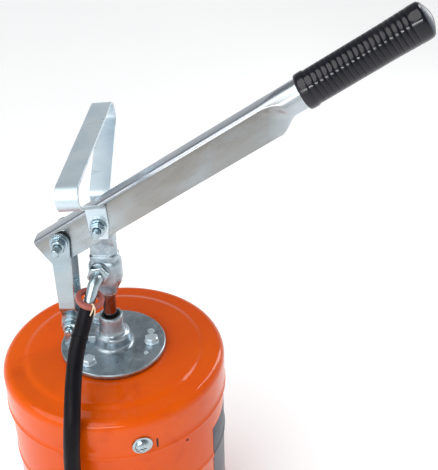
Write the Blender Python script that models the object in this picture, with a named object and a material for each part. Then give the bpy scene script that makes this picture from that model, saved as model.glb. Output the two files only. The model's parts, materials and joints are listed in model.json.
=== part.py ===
"""Bucket grease pump: a hand-lever pump on a painted bucket, with its delivery hose.

Frame: metres, +Z up, origin at the middle of the bucket's flat base. The lever swings in the XZ plane
and its grip is on the +X side. Every piece is one closed solid with about 0.3 mm to its neighbours.
"""
from math import cos, pi, radians, sin, sqrt

import bmesh
import bpy
from mathutils import Matrix, Vector

MM = 0.001
GAP = 0.3 * MM                      # air left between touching pieces

# ---- driving dimensions ----------------------------------------------------------------------
SEG_LARGE = 48                      # facets round the bucket and lid
SEG_MEDIUM = 32                     # facets round the boss, tube and grip
SEG_SMALL = 24                      # facets round bolts, nuts and pins
SEG_RING = 16                       # facets round washers, bushes and balls

# bucket and lid
BUCKET_R = 119.0 * MM
SHEET = 1.5 * MM
LID_Z = 300.0 * MM                  # raised middle of the lid
LID_STEP = 2.5 * MM                 # the outer band lies this much lower
LID_R = 121.0 * MM
LID_ROUND = 10.0 * MM               # radius of the lid's rounded shoulder
LID_RING_R = 95.0 * MM              # stamped ring between middle and band
SKIRT = 50.0 * MM
RIM_Z = 287.0 * MM
LID_SCREW_Z = 267.0 * MM
LID_SCREW_ANGLES = (-69.0, 51.0, 171.0)
BEAD_HEIGHTS = (95.0 * MM, 185.0 * MM)

# flange and boss
FLANGE_R = 57.0 * MM
FLANGE_T = 5.4 * MM
FLANGE_Z = LID_Z + 1.6 * MM         # underside, on its gasket
FLANGE_TOP = FLANGE_Z + FLANGE_T
BOSS_TOP = LID_Z + 45.0 * MM
SCREW_PCR = 42.0 * MM
FLANGE_SCREW_ANGLES = (1.0, 121.0, -119.0)
M8_R = 4.0 * MM
M8_CLEAR = 4.4 * MM
M8_FLATS = 6.5 * MM                 # half the width across flats

# pump barrel, rod and piston
TUBE_R = 19.0 * MM
TUBE_BORE = 17.0 * MM
ROD_R = 7.0 * MM
ROD_BORE = 3.6 * MM
ROD_FOOT = 166.0 * MM
PISTON_Z = 150.0 * MM

# linkage, heights from the base
PIVOT_Z = 462.8 * MM                # main pivot, on the rod's axis
LEVER_TILT = radians(33.4)
LINK_TOP = Vector((-40.6 * MM, 0.0, 444.4 * MM))
LINK_FOOT = Vector((-42.0 * MM, 0.0, 336.0 * MM))
LINK_FOOT_HOLE = 6.9 * MM           # wide hole: the link foot's play in the lug
CHANNEL_W = 22.4 * MM
CHANNEL_UP = 19.2 * MM              # flat top of the channel above the pivot line
CHANNEL_DOWN = 15.9 * MM            # open edges below the pivot line
CHANNEL_BEND = 5.0 * MM             # radius of its two long bends
TONGUE_T = 16.6 * MM                # head tongue between the channel walls
LINK_FACE = 14.4 * MM               # inner faces of the link bars at their tops
LINK_T = 3.0 * MM
LEVER_SHEET = 2.3 * MM
LEVER_TAIL = -70.0 * MM             # ends of the channel, measured along it from the pivot
LEVER_FLARE = (200.0 * MM, 226.0 * MM)
LEVER_TIP = 352.0 * MM
LEVER_TUBE_R = 15.0 * MM
LEVER_TUBE_UP = 5.7 * MM            # the tube's axis lies above the pivot line
GRIP_SPAN = (238.0 * MM, 362.0 * MM)
GRIP_R = 17.1 * MM

# carry handle, in its own plane across the lever
HANDLE_LEAN = radians(4.0)
HANDLE_W = 20.8 * MM
HANDLE_T = 2.6 * MM
HANDLE_PLAY = 1.4 * MM              # side play between the lever and each tab of the handle
HANDLE_TOP = 88.0 * MM
HANDLE_HALF = 100.0 * MM

# outlet, sealing ring and hose
HEAD_FOOT = LID_Z + 74.0 * MM
OUTLET = Vector((-4.5 * MM, -15.0 * MM, LID_Z + 107.5 * MM))
RING_CENTRE = Vector((-10.4 * MM, -40.0 * MM, LID_Z + 93.3 * MM))
RING_NORMAL = Vector((0.31, 0.03, 0.95)).normalized()
LEG_DIR = Vector((-0.25, -0.52, -0.82)).normalized()
SLEEVE_SPAN = (8.0 * MM, 40.0 * MM) # pressed sleeve, measured down the elbow's leg from the ring
HOSE_R = 8.25 * MM
COIL_R = 93.0 * MM
COIL_TURNS = 2.5
COIL_PITCH = 17.0 * MM
COIL_CENTRE = Vector((-105.0 * MM, -236.0 * MM, 0.0))
COIL_CLEAR = 60.0 * MM              # where the straight hose is clear of the coil's outer shape
TAIL = 80.0 * MM                    # straight hose after the coil
DROP_BEND = 70.0 * MM               # bend from the hanging hose into the coil

ORANGE = ("orange_paint", (0.80, 0.115, 0.012), 0.28, 0.0)
ZINC = ("zinc_plate", (0.70, 0.74, 0.78), 0.30, 1.0)
CAST = ("cast_zinc", (0.55, 0.58, 0.60), 0.45, 1.0)
CHROME = ("chrome_rod", (0.62, 0.60, 0.60), 0.12, 1.0)
STEEL = ("plain_steel", (0.50, 0.51, 0.53), 0.40, 1.0)
BRASS = ("brass", (0.72, 0.53, 0.25), 0.35, 1.0)
GRIP_RUBBER = ("grip_rubber", (0.012, 0.012, 0.018), 0.35, 0.0)
HOSE_RUBBER = ("hose_rubber", (0.010, 0.011, 0.014), 0.45, 0.0)
SEAL_RUBBER = ("seal_rubber", (0.02, 0.02, 0.02), 0.60, 0.0)
RED_RING = ("red_ring", (0.34, 0.055, 0.04), 0.50, 0.0)


# ---- helpers ---------------------------------------------------------------------------------
def material(spec):
    name, colour, roughness, metallic = spec
    found = bpy.data.materials.get(name)
    if found:
        return found
    made = bpy.data.materials.new(name)
    made.use_nodes = True
    shader = made.node_tree.nodes["Principled BSDF"]
    shader.inputs["Base Color"].default_value = (*colour, 1.0)
    shader.inputs["Roughness"].default_value = roughness
    shader.inputs["Metallic"].default_value = metallic
    made.diffuse_color = (*colour, 1.0)
    return made


def add_object(name, mesh_or_curve, spec=None):
    obj = bpy.data.objects.new(name, mesh_or_curve)
    bpy.context.scene.collection.objects.link(obj)
    if spec:
        mesh_or_curve.materials.append(material(spec))
    return obj


def finish_mesh(name, bm, spec, smooth_angle=35.0):
    """Turn a bmesh into a named object, smooth where neighbouring faces are nearly level."""
    bmesh.ops.recalc_face_normals(bm, faces=bm.faces)
    if bm.calc_volume(signed=True) < 0.0:
        bmesh.ops.reverse_faces(bm, faces=bm.faces)
    for face in bm.faces:
        face.smooth = True
    for edge in bm.edges:
        edge.smooth = edge.calc_face_angle(0.0) < radians(smooth_angle)
    mesh = bpy.data.meshes.new(name)
    bm.to_mesh(mesh)
    bm.free()
    return add_object(name, mesh, spec)


def ring_points(radius, height, sides, segments, turn=0.0):
    """One ring of a turned piece: round, or a polygon when sides is given (radius to its flats)."""
    points = []
    for i in range(segments):
        angle = 2.0 * pi * i / segments
        reach = radius
        if sides:
            sector = 2.0 * pi / sides
            reach = radius / cos((angle + sector / 2.0) % sector - sector / 2.0)
        points.append(Vector((reach * cos(angle + turn), reach * sin(angle + turn), height)))
    return points


def skin(bm, sections, closed=False):
    """Pull a loop of edges through a list of sections; a closed skin returns to its first section."""
    count = len(sections[0])
    first = [bm.verts.new(p) for p in sections[0]]
    edges = [bm.edges.new((first[i], first[(i + 1) % count])) for i in range(count)]
    loop = first
    following = sections[1:] + ([sections[0]] if closed else [])
    for section in following:
        grown = bmesh.ops.extrude_edge_only(bm, edges=edges)["geom"]
        fresh = {g for g in grown if isinstance(g, bmesh.types.BMVert)}
        loop = [next(e.other_vert(v) for e in v.link_edges if e.other_vert(v) in fresh) for v in loop]
        for vert, point in zip(loop, section):
            vert.co = point
        edges = [bm.edges.get((loop[i], loop[(i + 1) % count])) for i in range(count)]
    if closed:
        bmesh.ops.remove_doubles(bm, verts=first + loop, dist=0.0001 * MM)
    return first, loop


def turned(name, profile, spec, segments=SEG_MEDIUM, closed=False, place=None, turn=0.0):
    """A turned piece about its own Z axis.

    profile lists (radius, height) or (radius to flats, height, sides). A closed profile makes a ring;
    an open one is capped at both ends.
    """
    bm = bmesh.new()
    sections = []
    for entry in profile:
        sides = entry[2] if len(entry) > 2 else 0
        sections.append(ring_points(entry[0], entry[1], sides, segments, turn))
    first, last = skin(bm, sections, closed)
    if not closed:
        bm.faces.new(first)
        bm.faces.new(last)
    if place:
        bm.transform(place)
    return finish_mesh(name, bm, spec)


def prism(name, outline, depth, spec, place, bevel=0.0):
    """Extrude a closed outline of (x, y) points by depth, centred on its plane, and place it."""
    bm = bmesh.new()
    verts = [bm.verts.new((x, y, -depth / 2.0)) for x, y in outline]
    face = bm.faces.new(verts)
    grown = bmesh.ops.extrude_face_region(bm, geom=[face])
    moved = [v for v in grown["geom"] if isinstance(v, bmesh.types.BMVert)]
    bmesh.ops.translate(bm, verts=moved, vec=(0.0, 0.0, depth))
    if bevel:
        bmesh.ops.recalc_face_normals(bm, faces=bm.faces)
        rims = [e for e in bm.edges if abs(e.verts[0].co.z - e.verts[1].co.z) < depth / 4.0]
        bmesh.ops.bevel(bm, geom=rims, offset=bevel, segments=1, profile=0.5, affect="EDGES")
    bm.transform(place)
    return finish_mesh(name, bm, spec)


def tube(name, points, radius, spec, sides=8):
    """A solid round bar along points, as a curve with a bevel."""
    curve = bpy.data.curves.new(name, "CURVE")
    curve.dimensions = "3D"
    curve.resolution_u = 1
    curve.render_resolution_u = 0
    curve.bevel_depth = radius
    curve.bevel_resolution = (sides - 4) // 2
    curve.use_fill_caps = True
    spline = curve.splines.new("POLY")
    spline.points.add(len(points) - 1)
    for slot, point in zip(spline.points, points):
        slot.co = (*point, 1.0)
        slot.radius = 1.0
    spline.use_smooth = True
    return add_object(name, curve, spec)


def join_into(target, tools, operation):
    """Boolean the tools into the target and keep them as hidden cutters."""
    for tool in tools:
        step = target.modifiers.new(operation.lower(), "BOOLEAN")
        step.operation = operation
        step.object = tool
        tool.hide_render = True
        tool.display_type = "WIRE"


def along(origin, direction, up=Vector((0.0, 0.0, 1.0))):
    """Matrix that puts local +Z along direction, with local +X as near to up as it can be."""
    z_axis = Vector(direction).normalized()
    hint = Vector(up)
    if abs(hint.dot(z_axis)) > 0.99:
        hint = Vector((1.0, 0.0, 0.0))
    x_axis = (hint - hint.dot(z_axis) * z_axis).normalized()
    y_axis = z_axis.cross(x_axis)
    frame = Matrix((x_axis, y_axis, z_axis)).transposed().to_4x4()
    frame.translation = Vector(origin)
    return frame


def arc(centre, radius, start, stop, steps):
    """Points of an arc in a plane; angles in degrees."""
    cx, cy = centre
    turns = [radians(start + (stop - start) * i / steps) for i in range(steps + 1)]
    return [(cx + radius * cos(t), cy + radius * sin(t)) for t in turns]


def drill(target, name, origin, direction, radius, length, segments=SEG_RING):
    """Cut a round hole of the given length, starting at origin and running along direction."""
    profile = [(radius, 0.0), (radius, length)]
    cutter = turned(name, profile, None, segments, place=along(origin, direction))
    join_into(target, [cutter], "DIFFERENCE")


def polar(radius, degrees, z):
    return Vector((radius * cos(radians(degrees)), radius * sin(radians(degrees)), z))


def lever_point(s, n, y=0.0):
    """A point of the lever: s along it from the main pivot, n square to it (up), y across."""
    along_x, along_z = cos(LEVER_TILT), sin(LEVER_TILT)
    return Vector((s * along_x - n * along_z, y, PIVOT_Z + s * along_z + n * along_x))


LEVER_DIR = Vector((cos(LEVER_TILT), 0.0, sin(LEVER_TILT)))
NEAR = Vector((0.0, -1.0, 0.0))


# ---- bucket and lid --------------------------------------------------------------------------
def bucket():
    r, t = BUCKET_R, SHEET
    outer = [(r - 4.0 * MM, 0.0), (r + 1.5 * MM, 0.0), (r + 2.0 * MM, 1.5 * MM), (r + 2.0 * MM, 5.0 * MM),
             (r, 7.5 * MM)]
    for z in BEAD_HEIGHTS:
        outer += [(r, z - 4.0 * MM), (r + 1.2 * MM, z - 1.5 * MM), (r + 1.2 * MM, z + 1.5 * MM),
                  (r, z + 4.0 * MM)]
    outer += [(r, RIM_Z)]
    inner = [(r - t, RIM_Z), (r - t, 3.5 * MM), (r - t - 2.0 * MM, t)]
    shell = turned("bucket_shell", [(50.0 * MM, 0.0)] + outer + inner + [(50.0 * MM, t)], ORANGE,
                   SEG_LARGE)
    for i, angle in enumerate(LID_SCREW_ANGLES):
        start = polar(r + 5.0 * MM, angle, LID_SCREW_Z)
        drill(shell, f"bucket_hole_{i}", start, -polar(1.0, angle, 0.0), M8_CLEAR, 12.0 * MM)


def lid():
    band = LID_Z - LID_STEP
    centre = (LID_R - LID_ROUND, band - LID_ROUND)
    hem = LID_Z - SKIRT
    outside = [(25.0 * MM, LID_Z), (LID_RING_R - 3.0 * MM, LID_Z), (LID_RING_R, LID_Z - 1.2 * MM),
               (LID_RING_R + 3.0 * MM, band)]
    outside += arc(centre, LID_ROUND, 90.0, 0.0, 5)
    outside += [(LID_R, hem + 5.5 * MM), (LID_R + 1.0 * MM, hem + 4.0 * MM), (LID_R + 1.0 * MM, hem)]
    inside = [(LID_R - SHEET, hem), (LID_R - SHEET, centre[1])]
    inside += arc(centre, LID_ROUND - SHEET, 0.0, 90.0, 3)[1:]
    inside += [(LID_RING_R + 2.4 * MM, band - SHEET), (LID_RING_R - 3.6 * MM, LID_Z - SHEET),
               (25.0 * MM, LID_Z - SHEET)]
    cover = turned("lid", outside + inside, ORANGE, SEG_LARGE, closed=True)
    for i, angle in enumerate(LID_SCREW_ANGLES):
        start = polar(LID_R + 5.0 * MM, angle, LID_SCREW_Z)
        drill(cover, f"lid_side_hole_{i}", start, -polar(1.0, angle, 0.0), M8_CLEAR, 9.0 * MM)
    for i, angle in enumerate(FLANGE_SCREW_ANGLES):
        start = polar(SCREW_PCR, angle, LID_Z - 8.0 * MM)
        drill(cover, f"lid_top_hole_{i}", start, (0, 0, 1), M8_CLEAR, 16.0 * MM)


def lid_fasteners():
    """Cross-recess screws with a fixed washer, through the skirt and bucket wall to a nut inside."""
    for i, angle in enumerate(LID_SCREW_ANGLES):
        outward = polar(1.0, angle, 0.0)
        face = LID_R + GAP
        frame = along(polar(face, angle, LID_SCREW_Z), outward)
        head = [(M8_R, -13.0 * MM), (M8_R, 0.0), (10.5 * MM, 0.0), (10.5 * MM, 1.6 * MM), (7.8 * MM, 1.9 * MM),
                (8.0 * MM, 3.2 * MM), (6.8 * MM, 5.2 * MM), (4.2 * MM, 6.3 * MM)]
        screw = turned(f"lid_screw_{i + 1}", head, ZINC, SEG_SMALL, place=frame)
        for k, size in enumerate(((6.6, 1.3), (1.3, 6.6))):
            w, h = size[0] * MM / 2.0, size[1] * MM / 2.0
            slot = prism(f"lid_cross_{i}_{k}", [(-w, -h), (w, -h), (w, h), (-w, h)], 4.0 * MM, None,
                         frame @ Matrix.Translation((0.0, 0.0, 6.6 * MM)))
            join_into(screw, [slot], "DIFFERENCE")
        depth = LID_R - BUCKET_R + SHEET + 2.0 * GAP
        nut = [(M8_CLEAR, -6.5 * MM), (M8_FLATS, -6.5 * MM, 6), (M8_FLATS, 0.0, 6), (M8_CLEAR, 0.0)]
        inner = along(polar(LID_R - depth - 0.6 * MM, angle, LID_SCREW_Z), outward)
        turned(f"lid_nut_{i + 1}", nut, STEEL, SEG_SMALL, closed=True, place=inner)


def lid_seal():
    points = [(116.5 * MM + 2.2 * MM * cos(t), 289.5 * MM + 2.2 * MM * sin(t))
              for t in (2.0 * pi * i / 6 for i in range(6))]
    turned("lid_seal", points, SEAL_RUBBER, SEG_MEDIUM, closed=True)


# ---- flange, boss and what it holds ----------------------------------------------------------
def flange():
    top, foot = FLANGE_TOP, FLANGE_Z
    outside = [(24.0 * MM, 284.0 * MM), (24.0 * MM, foot), (FLANGE_R - 0.8 * MM, foot),
               (FLANGE_R, foot + 0.8 * MM), (FLANGE_R, top - 1.0 * MM), (FLANGE_R - 1.0 * MM, top),
               (21.5 * MM, top), (19.6 * MM, top + 1.2 * MM), (19.0 * MM, top + 3.0 * MM),
               (19.0 * MM, top + 13.5 * MM), (18.0 * MM, top + 15.0 * MM), (16.2 * MM, top + 15.6 * MM),
               (14.0 * MM, top + 17.6 * MM), (13.0 * MM, top + 21.0 * MM), (12.6 * MM, BOSS_TOP - 1.0 * MM),
               (11.8 * MM, BOSS_TOP)]
    inside = [(10.0 * MM, BOSS_TOP), (10.0 * MM, BOSS_TOP - 4.8 * MM), (7.4 * MM, BOSS_TOP - 4.8 * MM),
              (7.4 * MM, BOSS_TOP - 18.0 * MM), (12.0 * MM, BOSS_TOP - 18.0 * MM),
              (12.0 * MM, foot), (TUBE_R + GAP, foot), (TUBE_R + GAP, 284.0 * MM)]
    body = turned("flange", outside + inside, CAST, SEG_LARGE, closed=True)
    cx, cz = LINK_FOOT.x, LINK_FOOT.z
    root = top - 1.0 * MM
    side = [(cx - 11.0 * MM, root), (cx + 12.0 * MM, root), (cx + 9.0 * MM, top + 12.0 * MM)]
    side += arc((cx, cz), 9.0 * MM, 0.0, 180.0, 10)
    lug = prism("flange_lug", side, 12.0 * MM, None, along((0, 0, 0), NEAR, (1, 0, 0)), 0.8 * MM)
    base = top - 1.6 * MM
    web_side = [(-36.1 * MM, base), (-17.3 * MM, base), (-17.3 * MM, top + 8.6 * MM),
                (-36.1 * MM, top + 11.3 * MM)]
    web = prism("flange_web", web_side, 6.0 * MM, None, along((0, 0, 0), NEAR, (1, 0, 0)))
    join_into(body, [lug, web], "UNION")
    drill(body, "flange_lug_hole", LINK_FOOT - 10.0 * MM * NEAR, NEAR, M8_CLEAR, 20.0 * MM)
    for i, angle in enumerate(FLANGE_SCREW_ANGLES):
        start = polar(SCREW_PCR, angle, foot - 3.0 * MM)
        drill(body, f"flange_hole_{i}", start, (0, 0, 1), M8_CLEAR, 14.0 * MM)


def flange_fasteners():
    gasket = [(25.5 * MM, LID_Z + GAP), (FLANGE_R - 1.0 * MM, LID_Z + GAP),
              (FLANGE_R - 1.0 * MM, FLANGE_Z - GAP), (25.5 * MM, FLANGE_Z - GAP)]
    seal = turned("flange_gasket", gasket, SEAL_RUBBER, SEG_MEDIUM, closed=True)
    low, high = LID_Z - SHEET - GAP - 3.0 * MM, LID_Z - SHEET - GAP
    plate = [(25.5 * MM, low), (54.0 * MM, low), (54.0 * MM, high), (25.5 * MM, high)]
    backing = turned("backing_ring", plate, STEEL, SEG_MEDIUM, closed=True)
    for i, angle in enumerate(FLANGE_SCREW_ANGLES):
        for target, label in ((seal, "gasket"), (backing, "backing")):
            start = polar(SCREW_PCR, angle, low - 3.0 * MM)
            drill(target, f"{label}_hole_{i}", start, (0, 0, 1), M8_CLEAR, 16.0 * MM)
        seat = FLANGE_TOP + GAP
        shape = [(M8_R, -17.0 * MM), (M8_R, 0.0), (8.0 * MM, 0.0), (8.0 * MM, 1.2 * MM),
                 (M8_FLATS, 1.2 * MM, 6), (M8_FLATS, 5.6 * MM, 6), (5.8 * MM, 6.4 * MM)]
        turned(f"flange_screw_{i + 1}", shape, ZINC, SEG_SMALL,
               place=Matrix.Translation(polar(SCREW_PCR, angle, seat)), turn=radians(12.0))


def boss_seals():
    wiper_low = BOSS_TOP - 4.8 * MM + GAP
    wiper = [(7.3 * MM, wiper_low), (9.7 * MM, wiper_low), (9.7 * MM, BOSS_TOP - 1.2 * MM),
             (8.2 * MM, BOSS_TOP - 0.6 * MM), (7.3 * MM, BOSS_TOP - 1.6 * MM)]
    turned("rod_wiper", wiper, SEAL_RUBBER, SEG_RING, closed=True)
    ceiling = BOSS_TOP - 18.0 * MM - GAP
    packing = [(7.3 * MM, 309.0 * MM), (11.7 * MM, 309.0 * MM), (11.7 * MM, ceiling), (7.3 * MM, ceiling)]
    turned("rod_packing", packing, SEAL_RUBBER, SEG_RING, closed=True)
    nut = [(7.5 * MM, 302.0 * MM), (11.7 * MM, 302.0 * MM), (11.7 * MM, 308.7 * MM), (7.5 * MM, 308.7 * MM)]
    turned("packing_nut", nut, BRASS, SEG_RING, closed=True)


def barrel():
    tube_wall = [(TUBE_BORE, 30.0 * MM), (TUBE_R, 30.0 * MM), (TUBE_R, 300.0 * MM),
                 (TUBE_BORE, 300.0 * MM)]
    turned("pump_tube", tube_wall, STEEL, SEG_MEDIUM, closed=True)
    body = [(6.0 * MM, 12.5 * MM), (22.0 * MM, 12.5 * MM), (22.0 * MM, 45.0 * MM), (19.3 * MM, 45.0 * MM),
            (19.3 * MM, 29.7 * MM), (11.0 * MM, 29.7 * MM), (11.0 * MM, 25.0 * MM), (6.0 * MM, 20.0 * MM)]
    turned("foot_valve_body", body, BRASS, SEG_MEDIUM, closed=True)
    turned_ball("foot_valve_ball", 8.0 * MM, 25.6 * MM)
    basket = [(17.0 * MM, 2.0 * MM), (22.0 * MM, 2.0 * MM), (22.0 * MM, 12.2 * MM), (17.0 * MM, 12.2 * MM)]
    strainer = turned("inlet_strainer", basket, STEEL, SEG_MEDIUM, closed=True)
    for k in range(4):
        half = 2.0 * MM
        outline = [(-half, -24.0 * MM), (half, -24.0 * MM), (half, 24.0 * MM), (-half, 24.0 * MM)]
        frame = Matrix.Rotation(radians(45.0 * k), 4, "Z") @ Matrix.Translation((0.0, 0.0, 4.0 * MM))
        join_into(strainer, [prism(f"strainer_slot_{k}", outline, 8.0 * MM, None, frame)], "DIFFERENCE")


def turned_ball(name, radius, z):
    steps = 8
    profile = []
    for i in range(1, steps):
        angle = pi * i / steps
        profile.append((radius * sin(angle), z - radius * cos(angle)))
    turned(name, profile, STEEL, SEG_RING)


def piston():
    z = PISTON_Z
    body = [(3.3 * MM, z), (14.0 * MM, z), (16.4 * MM, z + 1.5 * MM), (16.4 * MM, z + 5.0 * MM),
            (13.2 * MM, z + 5.0 * MM), (13.2 * MM, z + 12.0 * MM), (16.4 * MM, z + 12.0 * MM),
            (16.4 * MM, z + 22.0 * MM), (15.0 * MM, z + 23.5 * MM), (7.3 * MM, z + 23.5 * MM),
            (7.3 * MM, z + 6.0 * MM), (3.3 * MM, z + 2.5 * MM)]
    turned("piston", body, BRASS, SEG_SMALL, closed=True)
    cup = [(13.5 * MM, z + 5.3 * MM), (16.7 * MM, z + 5.3 * MM), (16.7 * MM, z + 11.7 * MM),
           (13.5 * MM, z + 11.7 * MM)]
    turned("piston_seal", cup, SEAL_RUBBER, SEG_MEDIUM, closed=True)
    turned_ball("piston_ball", 5.0 * MM, z + 6.5 * MM)
    rod = [(ROD_BORE, ROD_FOOT), (ROD_R, ROD_FOOT), (ROD_R, HEAD_FOOT + 15.0 * MM),
           (ROD_BORE, HEAD_FOOT + 15.0 * MM)]
    turned("piston_rod", rod, CHROME, SEG_MEDIUM, closed=True)


def follower():
    plate = [(24.0 * MM, 246.0 * MM), (70.0 * MM, 246.0 * MM), (76.0 * MM, 243.0 * MM),
             (108.0 * MM, 243.0 * MM), (108.0 * MM, 245.0 * MM), (77.0 * MM, 245.0 * MM),
             (71.0 * MM, 248.0 * MM), (24.0 * MM, 248.0 * MM)]
    turned("follower_plate", plate, ZINC, SEG_MEDIUM, closed=True)
    lip = [(104.0 * MM, 240.0 * MM), (116.6 * MM, 238.0 * MM), (117.0 * MM, 240.0 * MM),
           (112.0 * MM, 242.0 * MM), (112.0 * MM, 246.5 * MM), (108.3 * MM, 246.5 * MM),
           (108.3 * MM, 242.7 * MM), (104.0 * MM, 242.7 * MM)]
    turned("follower_lip", lip, SEAL_RUBBER, SEG_MEDIUM, closed=True)
    inner = [(19.4 * MM, 243.0 * MM), (28.0 * MM, 243.0 * MM), (28.0 * MM, 245.7 * MM),
             (23.7 * MM, 245.7 * MM), (23.7 * MM, 250.0 * MM), (19.4 * MM, 250.0 * MM)]
    turned("follower_sleeve", inner, SEAL_RUBBER, SEG_MEDIUM, closed=True)


# ---- pump head and outlet --------------------------------------------------------------------
def head():
    """Cast pump head: cone, block with an outlet boss, and the tongue that carries the main pivot."""
    block = [(-16.0, -9.0), (-12.0, -13.0), (8.0, -13.0), (16.0, -5.0), (16.0, 5.0), (8.0, 13.0),
             (-12.0, 13.0), (-16.0, 9.0)]
    outline = [(x * MM, y * MM) for x, y in block]
    low, high = HEAD_FOOT + 15.0 * MM, LID_Z + 121.0 * MM
    body = prism("pump_head", outline, high - low, CAST, Matrix.Translation((0, 0, (low + high) / 2.0)),
                 1.2 * MM)
    cone = turned("head_cone", [(9.0 * MM, HEAD_FOOT), (9.6 * MM, HEAD_FOOT + 3.0 * MM),
                                (13.6 * MM, low + 1.0 * MM), (12.8 * MM, low + 6.0 * MM)], None, SEG_SMALL)
    side = [(-12.5 * MM, LID_Z + 112.0 * MM), (12.5 * MM, LID_Z + 112.0 * MM),
            (12.5 * MM, LID_Z + 140.0 * MM)]
    side += arc((0.0, PIVOT_Z), 12.0 * MM, 0.0, 180.0, 12) + [(-12.5 * MM, LID_Z + 140.0 * MM)]
    tongue = prism("head_tongue", side, TONGUE_T, None, along((0, 0, 0), NEAR, (1, 0, 0)), 0.8 * MM)
    boss = turned("head_outlet_boss", [(10.5 * MM, 0.0), (10.5 * MM, 7.0 * MM), (9.6 * MM, 8.0 * MM)], None,
                  SEG_SMALL, place=along(OUTLET - 8.0 * MM * NEAR, NEAR))
    join_into(body, [cone, tongue, boss], "UNION")
    drill(body, "head_rod_socket", (0, 0, HEAD_FOOT - 2.0 * MM), (0, 0, 1), ROD_R + GAP, 17.3 * MM)
    drill(body, "head_riser", (0, 0, HEAD_FOOT), (0, 0, 1), ROD_BORE, OUTLET.z - HEAD_FOOT + 2.0 * MM)
    drill(body, "head_outlet_bore", (OUTLET.x, 1.0 * MM, OUTLET.z), NEAR, ROD_BORE, 20.0 * MM)
    drill(body, "head_outlet_socket", OUTLET - 9.0 * MM * NEAR, NEAR, 6.3 * MM, 12.0 * MM)
    drill(body, "head_pivot_bore", (0, 12.0 * MM, PIVOT_Z), NEAR, 6.3 * MM, 24.0 * MM)
    half = TONGUE_T / 2.0
    bush = [(M8_CLEAR, -half), (6.0 * MM, -half), (6.0 * MM, half), (M8_CLEAR, half)]
    turned("pivot_bush", bush, BRASS, SEG_RING, closed=True, place=along((0, 0, PIVOT_Z), NEAR))


def outlet():
    """Hex adapter in the head, elbow, and the pressed sleeve of the hose."""
    adapter = [(6.0 * MM, -8.0 * MM), (6.0 * MM, GAP), (9.2 * MM, GAP), (10.0 * MM, GAP + 0.7 * MM, 6),
               (10.0 * MM, 7.0 * MM, 6), (8.6 * MM, 8.0 * MM), (ROD_BORE, 8.0 * MM), (ROD_BORE, -8.0 * MM)]
    turned("outlet_adapter", adapter, ZINC, SEG_SMALL, closed=True, place=along(OUTLET, NEAR),
           turn=radians(8.0))
    start = OUTLET + (8.0 * MM + GAP) * NEAR
    leg_top = RING_CENTRE - 14.0 * MM * LEG_DIR
    leg_end = RING_CENTRE + (SLEEVE_SPAN[0] - GAP) * LEG_DIR
    knee_in, knee_out = start + 6.0 * MM * NEAR, leg_top - 4.0 * MM * LEG_DIR
    path = [start]
    for i in range(7):
        f = i / 6.0
        path.append(((1 - f) ** 2) * (start + 1.5 * MM * NEAR)
                    + 2 * f * (1 - f) * (knee_in * 0.5 + knee_out * 0.5) + (f ** 2) * leg_top)
    path += [RING_CENTRE, leg_end]
    tube("elbow", path, 6.0 * MM, ZINC, 16)
    frame = along(RING_CENTRE + SLEEVE_SPAN[0] * LEG_DIR, LEG_DIR)
    length = SLEEVE_SPAN[1] - SLEEVE_SPAN[0]
    sleeve = [(7.6 * MM, 0.0), (8.0 * MM, 0.8 * MM), (8.0 * MM, length - 2.5 * MM),
              (8.7 * MM, length - 2.0 * MM), (8.7 * MM, length - 0.5 * MM), (8.3 * MM, length)]
    turned("hose_sleeve", sleeve, HOSE_RUBBER, SEG_SMALL, place=frame)


def sealing_ring():
    section = [(9.0, -1.9), (9.7, -2.6), (13.7, -2.6), (14.4, -1.9), (14.4, 1.9), (13.7, 2.6), (9.7, 2.6),
               (9.0, 1.9)]
    turned("sealing_ring", [(r * MM, z * MM) for r, z in section], RED_RING, 32, closed=True,
           place=along(RING_CENTRE, RING_NORMAL))


# ---- lever, grip and carry handle ------------------------------------------------------------
def channel_section(f):
    """Middle line of the lever's sheet: a channel open below at f = 0, a closed tube at f = 1."""
    half = CHANNEL_W / 2.0 - LEVER_SHEET / 2.0
    low, high, bend = -CHANNEL_DOWN, CHANNEL_UP - LEVER_SHEET / 2.0, CHANNEL_BEND - LEVER_SHEET / 2.0
    wall = [(-half, low + (high - bend - low) * i / 5.0) for i in range(5)]
    left = wall + arc((-half + bend, high - bend), bend, 180.0, 90.0, 4)
    channel = left + [(-x, y) for x, y in reversed(left)]
    radius = LEVER_TUBE_R - LEVER_SHEET / 2.0
    seam = 4.0
    closed = arc((0.0, LEVER_TUBE_UP), radius, 270.0 - seam, -90.0 + seam, len(channel) - 1)
    return [(a * (1.0 - f) + c * f, b * (1.0 - f) + d * f) for (a, b), (c, d) in zip(channel, closed)]


def offset_section(line):
    """Give the middle line its sheet thickness: a closed outline round it."""
    inner, outer = [], []
    for i, (x, y) in enumerate(line):
        ax, ay = line[max(i - 1, 0)]
        bx, by = line[min(i + 1, len(line) - 1)]
        dx, dy = bx - ax, by - ay
        size = sqrt(dx * dx + dy * dy)
        nx, ny = dy / size * LEVER_SHEET / 2.0, -dx / size * LEVER_SHEET / 2.0
        outer.append((x - nx, y - ny))
        inner.append((x + nx, y + ny))
    return outer + inner[::-1]


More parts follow.
